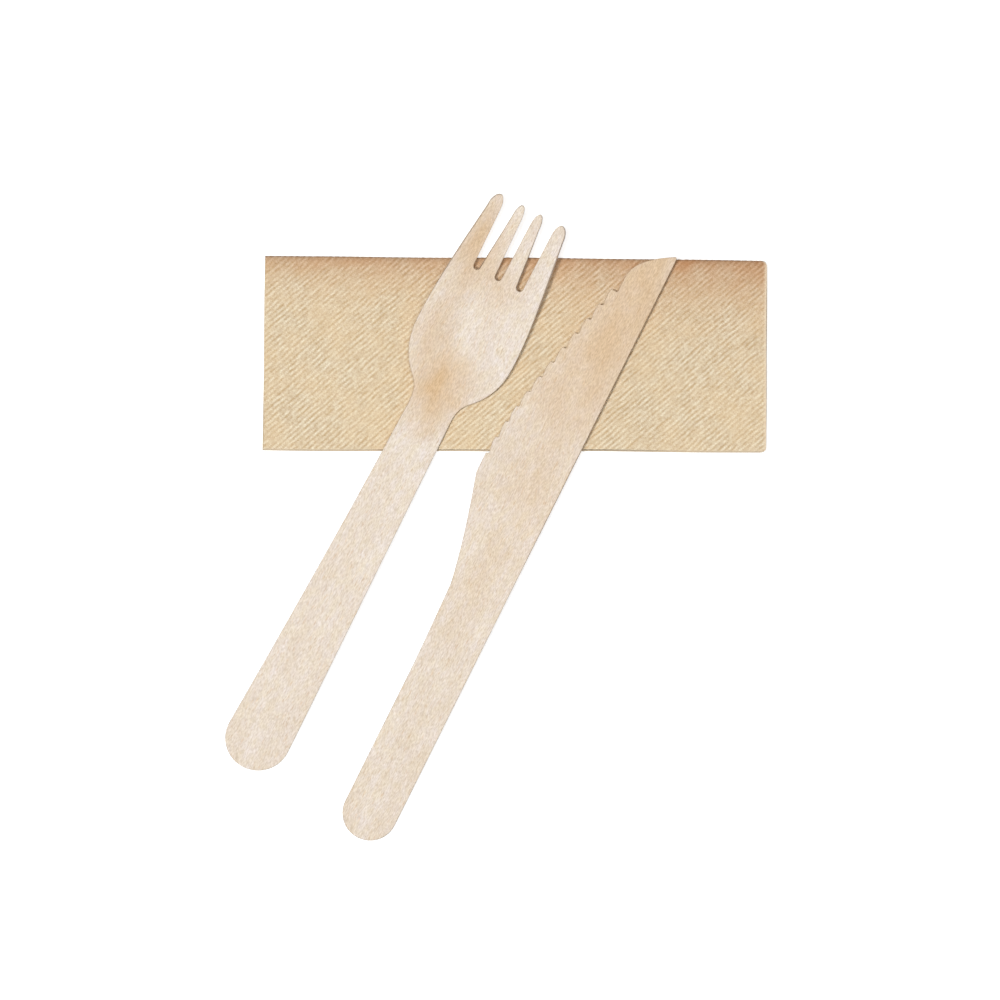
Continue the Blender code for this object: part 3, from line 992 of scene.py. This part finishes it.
@dataclass
class Napkin:
    """The napkin: one sheet halved over its right end and rolled into five panels."""

    finish: KraftTissue = field(default_factory=KraftTissue)
    flat: tuple[float, float] = (0.250, 0.240)
    width: float = 125.3 * MM
    depth: float = 48.3 * MM
    ply: float = 0.22 * MM
    ply_slit: float = 0.08 * MM
    panel_slit: float = 0.08 * MM
    fold_clearance: float = 0.15 * MM
    fullness: float = 1.5
    free_edge_setback: float = 0.45 * MM
    skew: float = math.radians(0.2)
    yaw: float = math.radians(-0.56)
    fine_step: float = 0.31 * MM
    coarse_step: float = 4.0 * MM
    corner_round: float = 1.2 * MM
    corner_reach: float = 6.0 * MM
    wedge: float = 0.34 * MM
    # How far the plies stray along X, Y and Z, in waves of these lengths.
    slack: Triple = (0.1 * MM, 0.09 * MM, 0.05 * MM)
    slack_waves: Triple = (17.0 * MM, 7.3 * MM, 19.0 * MM)
    end_waves: Point = (9.0 * MM, 23.0 * MM)
    end_turns: Point = (4.0, 21.0)
    slack_phase: float = 0.7
    second_waves: Point = (0.6, 0.7)
    # How far the back fold's painted shade reaches, how strong it is, and how it fades where the
    # fold faces down.
    fold_shade_reach: Point = (4.0 * MM, 8.4 * MM)
    fold_shade_strength: Point = (0.74, 1.0)
    fold_shade_fade: Point = (0.8, 0.8)
    fold_shade_underneath: float = 0.4
    # How far in and how strongly the painted highlight lies along the edges.
    rim_highlight_reach: float = 0.9 * MM
    rim_highlight_strength: float = 0.9
    sharp_from: float = math.radians(50.0)
    ridge_pitch: float = 1.08 * MM
    ridge_angle: float = math.radians(41.0)
    ridge_depth: float = 0.045 * MM
    # How strongly the ridges are painted lighter and darker, as painted light and shade.
    ridge_shading: float = 1.15
    # The noise that breaks the ridges up, from and to, and the strength that it gives them.
    ridge_breaks: tuple[float, ...] = (0.36, 0.62, 0.05, 1.15)
    emboss_fade: Point = (0.95, 0.7)
    crepe_share: float = 0.9
    # How strongly the crepe's wrinkles are painted lighter and darker, as painted light and shade.
    crepe_shading: float = 2.2
    emboss_seed: float = 3.0
    drift_reach: float = 0.9 * MM
    drift: Cells = Cells(6.0 * MM, 6.0 * MM)
    breaks: Cells = Cells(2.2 * MM, 0.6 * MM)
    crepe: Cells = Cells(0.7 * MM, 0.5 * MM)

    @property
    def coarse_count(self) -> int:
        """How many coarse steps run across the sheet."""
        return max(int(self.width / self.coarse_step), 2)

    @property
    def strip(self) -> float:
        """The halved sheet's thickness."""
        return 2.0 * self.ply + self.ply_slit

    @property
    def level(self) -> float:
        """The height from one panel to the next."""
        return self.strip + self.panel_slit

    @property
    def emboss_inputs(self) -> dict[str, float]:
        """The emboss tree's named inputs."""
        return {
            "Ridge pitch": self.ridge_pitch,
            "Ridge angle": self.ridge_angle,
            "Ridge depth": self.ridge_depth,
            "Crepe depth": self.crepe_share * self.ridge_depth,
            "Seed": self.emboss_seed,
        }

    def section(self) -> list[Point]:
        """Cuts the halved sheet across, starting on the face that ends up on top.

        The first run, from the fold's end to the cut edge, is the one that is divided finely
        on the top panel.

        Returns:
            The closed outline of the cut.
        """
        half = self.width / 2.0
        outer = self.strip / 2.0
        inner = self.ply_slit / 2.0
        turn = half - outer
        coarse = self.coarse_count
        run = [between(turn, -half, k / coarse) for k in range(coarse + 1)]
        points = [(x, outer) for x in run]
        points += [(x, inner) for x in run[::-1]]
        points += arc((turn, 0.0), inner, math.pi / 2.0, -math.pi / 2.0, steps=4)[1:-1]
        points += [(x, -inner) for x in run]
        points += [(x, -outer) for x in run[::-1]]
        points += arc((turn, 0.0), outer, -math.pi / 2.0, math.pi / 2.0, steps=8)[1:-1]
        return points

    def path(self) -> list[Triple]:
        """Rolls the strip up from its free edge on top.

        Returns:
            The line that it follows, as (y, z, share of a fold).
        """
        level = [self.strip / 2.0 + k * self.level for k in range(5)]
        back = self.depth / 2.0
        inside = back - self.strip - self.fold_clearance
        # Edge of the napkin, how far out, fullness, the two levels that it joins, and steps.
        folds = (
            (FoldEdge.BACK, back, self.fullness, 4, 0, 14),
            (FoldEdge.FRONT, back, self.fullness, 0, 3, 10),
            (FoldEdge.BACK, inside, self.fullness, 3, 1, 8),
            (FoldEdge.FRONT, inside, 1.0, 1, 2, 8),
        )
        line = [(self.free_edge_setback - back, level[4], 0.0)]
        step = self.fine_step
        for edge, out, fullness, first, last, steps in folds:
            reach = fullness * abs(first - last) / 2.0 * self.level
            centre = edge.value * (out - self.strip / 2.0 - reach)
            line += self._run(line[-1], centre, level[first], step)
            line += self._fold((centre, reach), level[first], level[last], edge, steps)
            step = self.coarse_step
        end = inside - self.strip - 3.0 * self.fold_clearance
        line += self._run(line[-1], end, level[2], step)
        return line + [(end, level[2], 0.0)]

    def _run(self, start: Triple, end: float, level: float, step: float) -> list[Triple]:
        """Returns the points between a panel's two ends."""
        count = max(int(abs(end - start[0]) / step), 1)
        return [(between(start[0], end, k / count), level, 0.0) for k in range(1, count)]

    def _fold(
        self, bend: Point, start: float, end: float, edge: FoldEdge, steps: int
    ) -> list[Triple]:
        """Turns the strip over, along half an ellipse.

        Args:
            bend: The ellipse's middle along Y, and how far it reaches from there.
            start: The height that the strip comes from.
            end: The height that it goes on at.
            edge: The edge of the napkin that the fold lies at.
            steps: How many steps it takes.

        Returns:
            The fold's points, both ends included.
        """
        centre, reach = bend[0], edge.value * bend[1]
        middle, rise = (start + end) / 2.0, edge.value * (start - end) / 2.0
        angles = [edge.value * math.pi * (0.5 - k / steps) for k in range(steps + 1)]
        turns = [(math.cos(a), math.sin(a)) for a in angles]
        return [(centre + reach * c, middle + rise * s, c) for c, s in turns]

    def _fold_shade(self, x: float, y: float, facing: float) -> float:
        """Finds how much painted shade darkens the sheet at a place by the back fold.

        Args:
            x: The place across the sheet.
            y: The place along the folded napkin's depth.
            facing: How far the sheet faces up there, from -1 to 1.

        Returns:
            The painted shade's strength.
        """
        share = x / self.width + 0.5
        fold_shade = math.exp(-max(self.depth / 2.0 - y, 0.0) / between(*self.fold_shade_reach, share))
        start, run = self.fold_shade_fade
        shown = between(self.fold_shade_underneath, 1.0, eased((facing + start) / run))
        return fold_shade * between(*self.fold_shade_strength, share) * shown

    def _skin(self, rings: list[list[int]], per: int) -> list[tuple[int, ...]]:
        """Joins rings of points into one closed skin.

        Args:
            rings: The points' numbers, ring by ring along the path.
            per: How many fine steps stand for a coarse one on the top panel.

        Returns:
            The faces, with both ends closed.
        """
        coarse = self.coarse_count
        shift = coarse * per - coarse
        faces: list[tuple[int, ...]] = []
        for first, second in zip(rings, rings[1:]):
            count = len(second)
            if len(first) == count:
                for k in range(count):
                    n = (k + 1) % count
                    faces.append((first[k], second[k], second[n], first[n]))
                continue
            for c in range(coarse):
                fan = [first[c * per + i] for i in range(per + 1)]
                faces.append((*fan[::-1], second[c], second[c + 1]))
            for c in range(coarse, count):
                n = (c + 1) % count
                past = first[n + shift] if n else first[0]
                faces.append((first[c + shift], second[c], second[n], past))
        return faces + [tuple(rings[0]), tuple(rings[-1][::-1])]

    def sheet_mesh(self) -> bpy.types.Mesh:
        """Builds the folded sheet as one closed skin, with the fine grid on its top face.

        Returns:
            The mesh. Its points hold their place on the flat sheet, their share of the emboss,
            and how much painted shade they get by the back fold and along its outer edge, and how
            much painted highlight they get at the soft rim.
        """
        line = self.path()
        section = self.section()
        coarse = self.coarse_count
        per = int(self.width / self.fine_step / coarse) + 1
        half = self.width / 2.0
        outer = self.strip / 2.0
        count = coarse * per
        fine_run = [(between(half - outer, -half, k / count), outer) for k in range(count)]
        fine_section = fine_run + section[coarse:]
        panel_end = next(k for k, p in enumerate(line) if p[2] > 0.0)
        fine_rings = next(k for k in range(panel_end, len(line)) if line[k][2] == 0.0)

        spots: list[Triple] = []
        # After the flat place and the emboss share: painted shade by the back fold, painted shade
        # along its outer edge, painted highlight at the rims.
        names = ("sheet", "emboss_mask", "fold_shading", "crease_shade", "edge")
        layers: dict[str, list] = {name: [] for name in names}
        rings: list[list[int]] = []
        travelled = 0.0
        start, run = self.emboss_fade
        for j, (y, z, bend) in enumerate(line):
            before = line[max(j - 1, 0)]
            after = line[min(j + 1, len(line) - 1)]
            ahead = Vector((after[0] - before[0], after[1] - before[1])).normalized()
            travelled += math.dist((y, z), before[:2])
            fine = j < fine_rings
            cut = fine_section if fine else section
            flare = 1.0 - y * math.tan(self.skew) / half
            rings.append(list(range(len(spots), len(spots) + len(cut))))
            for k, (x, offset) in enumerate(cut):
                spots.append((x * flare, y - ahead.y * offset, z + ahead.x * offset))
                on_top = fine and k <= len(fine_run)
                outside = fine and offset > 0.0
                near = min(half - x, self.depth / 2.0 + y)
                values = (
                    (x, travelled, offset),
                    eased((ahead.x + start) / run) if on_top else 0.0,
                    self._fold_shade(x, y, ahead.x) if outside else 0.0,
                    bend if outside else 0.0,
                    self.rim_highlight_strength * eased(1.0 - near / self.rim_highlight_reach),
                )
                for layer, value in zip(layers.values(), values):
                    layer.append(value)
        mesh = bpy.data.meshes.new("napkin_sheet")
        mesh.from_pydata(self.placed(np.array(spots)).tolist(), [], self._skin(rings, per))
        for name, values in layers.items():
            kind, key = ("FLOAT_VECTOR", "vector") if name == "sheet" else ("FLOAT", "value")
            layer = mesh.attributes.new(name, kind, "POINT")
            layer.data.foreach_set(key, np.array(values).ravel())
        mesh.update()
        return mesh

    def placed(self, spots: np.ndarray) -> np.ndarray:
        """Puts the neat folded sheet where the real one is, with the real one's slack.

        Args:
            spots: The points on the neat sheet, centred in plan, one row each.

        Returns:
            The points in the frame.
        """
        x, y, z = spots.T.copy()
        half, back = self.width / 2.0, self.depth / 2.0
        over = np.clip((np.abs(y) - (back - self.corner_round)) / self.corner_round, 0.0, 1.0)
        cut = self.corner_round * (1.0 - np.sqrt(1.0 - over**2))
        near_end = np.clip((x - half + self.corner_reach) / self.corner_reach, 0.0, 1.0)
        x = x - cut * near_end**2
        y = y + self.wedge * (x / half) * (0.5 - y / self.depth)
        height = z / (self.strip + 4.0 * self.level)
        slow, quick, slanting = self.slack_waves
        short, long = self.end_waves
        few, many = self.end_turns
        along, across = self.second_waves
        wave = np.sin(x / slow + self.slack_phase) + along * np.sin(x / quick + y / slanting)
        ends = np.sin(y / short + few * height) + across * np.sin(y / long + many * height)
        slack_x = self.slack[0] * ends * (x / half) ** 2
        slack_y = self.slack[1] * wave * (y / back) ** 2
        slack_z = self.slack[2] * wave * height
        turn = np.array(Matrix.Rotation(self.yaw, 3, "Z"))
        low, high = (np.array(corner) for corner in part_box("napkin"))
        middle = np.array([(low[0] + high[0]) / 2.0, (low[1] + high[1]) / 2.0, low[2]])
        return np.stack([x + slack_x, y + slack_y, z + slack_z], axis=1) @ turn.T + middle

    def emboss_tree(self, material: bpy.types.Material) -> Tree:
        """Builds the Geometry Nodes tree that presses the slanting ridges into the sheet.

        Args:
            material: The tissue that the sheet is made of.

        Returns:
            The tree, with the ridge's pitch, angle and depth and the crepe's depth as inputs.
        """
        tree = bpy.data.node_groups.new("tissue_emboss", "GeometryNodeTree")
        face = tree.interface
        face.new_socket("Geometry", in_out="INPUT", socket_type="NodeSocketGeometry")
        for name in self.emboss_inputs:
            face.new_socket(name, in_out="INPUT", socket_type="NodeSocketFloat")
        face.new_socket("Geometry", in_out="OUTPUT", socket_type="NodeSocketGeometry")
        add = partial(add_node, tree)
        maths = partial(add_node, tree, "ShaderNodeMath")
        given = add("NodeGroupInput")
        flat, mask = (
            add("GeometryNodeInputNamedAttribute", {"Name": name}, data_type=kind)["Attribute"]
            for name, kind in (("sheet", "FLOAT_VECTOR"), ("emboss_mask", "FLOAT"))
        )
        turned = add(
            "ShaderNodeVectorRotate",
            {"Vector": flat, "Center": (0.0, 0.0, 0.0), "Angle": given["Ridge angle"]},
            rotation_type="Z_AXIS",
            invert=True,
        )[0]
        across = add("ShaderNodeSeparateXYZ", {0: turned})[1]
        drift = self.drift.noise(tree, flat, given["Seed"])
        breaks = self.breaks.noise(tree, turned, given["Seed"])
        crepe = self.crepe.noise(tree, turned, given["Seed"])

        shifted = maths({0: drift, 1: self.drift_reach, 2: across}, operation="MULTIPLY_ADD")[0]
        turns = maths({0: shifted, 1: given["Ridge pitch"]}, operation="DIVIDE")[0]
        angle = maths({0: turns, 1: math.tau}, operation="MULTIPLY")[0]
        wave = maths({0: angle}, operation="SINE")[0]
        ends = dict(zip(RANGE_ENDS, self.ridge_breaks))
        strength = add("ShaderNodeMapRange", {"Value": breaks} | ends)[0]
        ridges = maths({0: wave, 1: strength}, operation="MULTIPLY")[0]
        wrinkle = maths({0: crepe, 1: 0.5}, operation="SUBTRACT")[0]
        # The first result moves the sheet; the second is the painted light and shade of the ridges
        # and crepe.
        results = []
        for creped, ridged in (
            (given["Crepe depth"], given["Ridge depth"]),
            (self.crepe_shading, self.ridge_shading),
        ):
            part = maths({0: ridges, 1: ridged}, operation="MULTIPLY")[0]
            whole = maths({0: wrinkle, 1: creped, 2: part}, operation="MULTIPLY_ADD")[0]
            results.append(maths({0: whole, 1: mask}, operation="MULTIPLY")[0])
        height, shading_tone = results

        normal = add("GeometryNodeInputNormal")[0]
        offset = add("ShaderNodeVectorMath", {0: normal, "Scale": height}, operation="SCALE")[0]
        moved = add("GeometryNodeSetPosition", {"Geometry": given["Geometry"], "Offset": offset})[0]
        # Stores the painted light and shade as relief, for the tissue's colour.
        stored = add(
            "GeometryNodeStoreNamedAttribute",
            {"Geometry": moved, "Name": "relief", "Value": shading_tone},
            data_type="FLOAT",
            domain="POINT",
        )[0]
        real = add("GeometryNodeRealizeInstances", {0: stored})[0]
        dressed = add("GeometryNodeSetMaterial", {0: real, "Material": material})[0]
        add("NodeGroupOutput", {0: dressed})
        return tree

    def build(self) -> bpy.types.Object:
        """Builds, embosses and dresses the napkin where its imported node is.

        Returns:
            The finished piece.
        """
        material = self.finish.material()
        mesh = self.sheet_mesh()
        bm = bmesh.new()
        bm.from_mesh(mesh)
        bmesh.ops.recalc_face_normals(bm, faces=bm.faces[:])
        for face in bm.faces:
            face.smooth = True
        for edge in bm.edges:
            edge.smooth = edge.calc_face_angle(0.0) < self.sharp_from
        bm.to_mesh(mesh)
        bm.free()
        raw = put_in_scene("napkin_raw", mesh)
        tree = self.emboss_tree(material)
        press = raw.modifiers.new("tissue_emboss", "NODES")
        press.node_group = tree
        for item in tree.interface.items_tree:
            if item.in_out == "INPUT" and item.name in self.emboss_inputs:
                press[item.identifier] = self.emboss_inputs[item.name]
        piece = settled(raw, "napkin_folded")
        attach(piece, "root")
        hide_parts("napkin")
        LOG.info("%s: %d faces", piece.name, len(piece.data.polygons))
        return piece


@dataclass(frozen=True)
class Softbox:
    """A round soft lamp that faces the set."""

    name: str
    place: Triple
    size: float
    power: float

    def hang(self) -> None:
        """Hangs the lamp."""
        lamp = bpy.data.lights.new(self.name, "AREA")
        lamp.shape = "DISK"
        lamp.size = self.size
        lamp.energy = self.power
        hung = put_in_scene(self.name, lamp)
        hung.location = self.place
        hung.rotation_euler = Vector(self.place).to_track_quat("Z", "Y").to_euler()


@dataclass
class Studio:
    """The white table, soft lamps and the camera at the photograph's angle."""

    centre: Triple = (0.86 * MM, 4.36 * MM, 2.0 * MM)
    field_width: float = 249.6 * MM
    elevation: float = math.radians(89.3)
    distance: float = 4.0
    sensor_width: float = 36.0
    clip_end: float = 20.0
    softboxes: tuple[Softbox, ...] = (
        Softbox("key_softbox", (-0.24, -0.03, 1.5), size=0.15, power=10.4),
        Softbox("broad_softbox", (0.0, 0.0, 1.6), size=0.8, power=9.8),
    )
    white: str = "#ffffff"
    fill_light: float = 0.2
    table_lift: float = 0.6
    table_reach: float = 3.0
    table_z: float = -0.05 * MM

    def build(self) -> None:
        """Builds the table, the lamps, the world and the camera."""
        self._table()
        for softbox in self.softboxes:
            softbox.hang()
        self._world()
        self._camera()

    def _table(self) -> None:
        """Makes the plain floor: white to the eye, and it still keeps the set's soft shadow."""
        made, tree, shader = new_material(
            "white_table",
            {
                "Roughness": 1.0,
                "Specular IOR Level": 0.0,
                "Emission Color": linear(self.white),
            },
        )
        rays = add_node(tree, "ShaderNodeLightPath")
        seen = rays["Is Camera Ray"]
        for other in ("Is Glossy Ray", "Is Transmission Ray"):
            seen = add_node(
                tree, "ShaderNodeMath", {0: seen, 1: rays[other]}, operation="MAXIMUM"
            )[0]
        lift = add_node(
            tree, "ShaderNodeMath", {0: seen, 1: self.table_lift}, operation="MULTIPLY"
        )[0]
        tree.links.new(lift, shader["Emission Strength"])
        mesh = bpy.data.meshes.new("table_top")
        far = self.table_reach
        corners = [(-far, -far), (far, -far), (far, far), (-far, far)]
        mesh.from_pydata([(x, y, self.table_z) for x, y in corners], [], [(0, 1, 2, 3)])
        mesh.materials.append(made)
        put_in_scene("table_top", mesh)

    def _world(self) -> None:
        """Puts an even white surround round the set."""
        world = bpy.data.worlds.new("even_white")
        world.use_nodes = True
        surround = world.node_tree.nodes["Background"].inputs
        surround["Color"].default_value = linear(self.white)
        surround["Strength"].default_value = self.fill_light
        bpy.context.scene.world = world

    def _camera(self) -> None:
        """Sets the camera almost straight above, with a long lens."""
        view = bpy.data.cameras.new("overhead")
        view.sensor_width = self.sensor_width
        view.lens = self.sensor_width * self.distance / self.field_width
        view.clip_end = self.clip_end
        camera = put_in_scene("overhead", view)
        away = Vector((0.0, -math.cos(self.elevation), math.sin(self.elevation)))
        camera.location = Vector(self.centre) + away * self.distance
        camera.rotation_euler = (math.pi / 2.0 - self.elevation, 0.0, 0.0)
        bpy.context.scene.camera = camera
        bpy.context.scene.view_settings.view_transform = "Standard"


FORK_YAW = math.radians(62.5)
KNIFE_YAW = math.radians(63.5)


def main() -> None:
    """Builds the set in order."""
    logging.basicConfig(level=logging.INFO, format="%(name)s: %(message)s")
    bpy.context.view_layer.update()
    Napkin().build()
    fork_birch = BirchVeneer(
        name="birch_veneer_fork",
        place=(-62.9 * MM, -62.5 * MM),
        yaw=FORK_YAW,
        # Patches of painted shade where the neck, bowl and tines slope away from the lamp.
        spots=(
            ShadeSpot(106.5 * MM, 1.0 * MM, 14.0 * MM, 9.0 * MM, 0.95),
            ShadeSpot(119.0 * MM, 9.0 * MM, 12.0 * MM, 6.0 * MM, 0.5),
            ShadeSpot(143.0 * MM, 8.5 * MM, 17.0 * MM, 6.5 * MM, 0.75),
            ShadeSpot(137.0 * MM, 0.0, 8.0 * MM, 9.0 * MM, 0.35),
        ),
    )
    Fork(lay=Lay("fork", FORK_YAW), finish=fork_birch).build()
    knife_birch = BirchVeneer(
        name="birch_veneer_knife",
        place=(-34.2 * MM, -80.2 * MM),
        yaw=KNIFE_YAW,
        deep="#eedcc6",
        cut_share=0.65,
        # Patches of painted shade, growing towards the tip where the blade bends away from the
        # lamp.
        spots=(
            ShadeSpot(159.0 * MM, -3.0 * MM, 24.0 * MM, 13.0 * MM, 0.75),
            ShadeSpot(137.0 * MM, -1.0 * MM, 26.0 * MM, 15.0 * MM, 0.75),
            ShadeSpot(119.0 * MM, 4.0 * MM, 14.0 * MM, 10.0 * MM, 0.4),
            ShadeSpot(97.0 * MM, 0.0, 20.0 * MM, 13.0 * MM, 0.35),
            ShadeSpot(70.0 * MM, 2.0 * MM, 18.0 * MM, 8.0 * MM, 0.25),
        ),
    )
    Knife(lay=Lay("knife", KNIFE_YAW), finish=knife_birch).build()
    Studio().build()


if __name__ == "__main__":
    main()
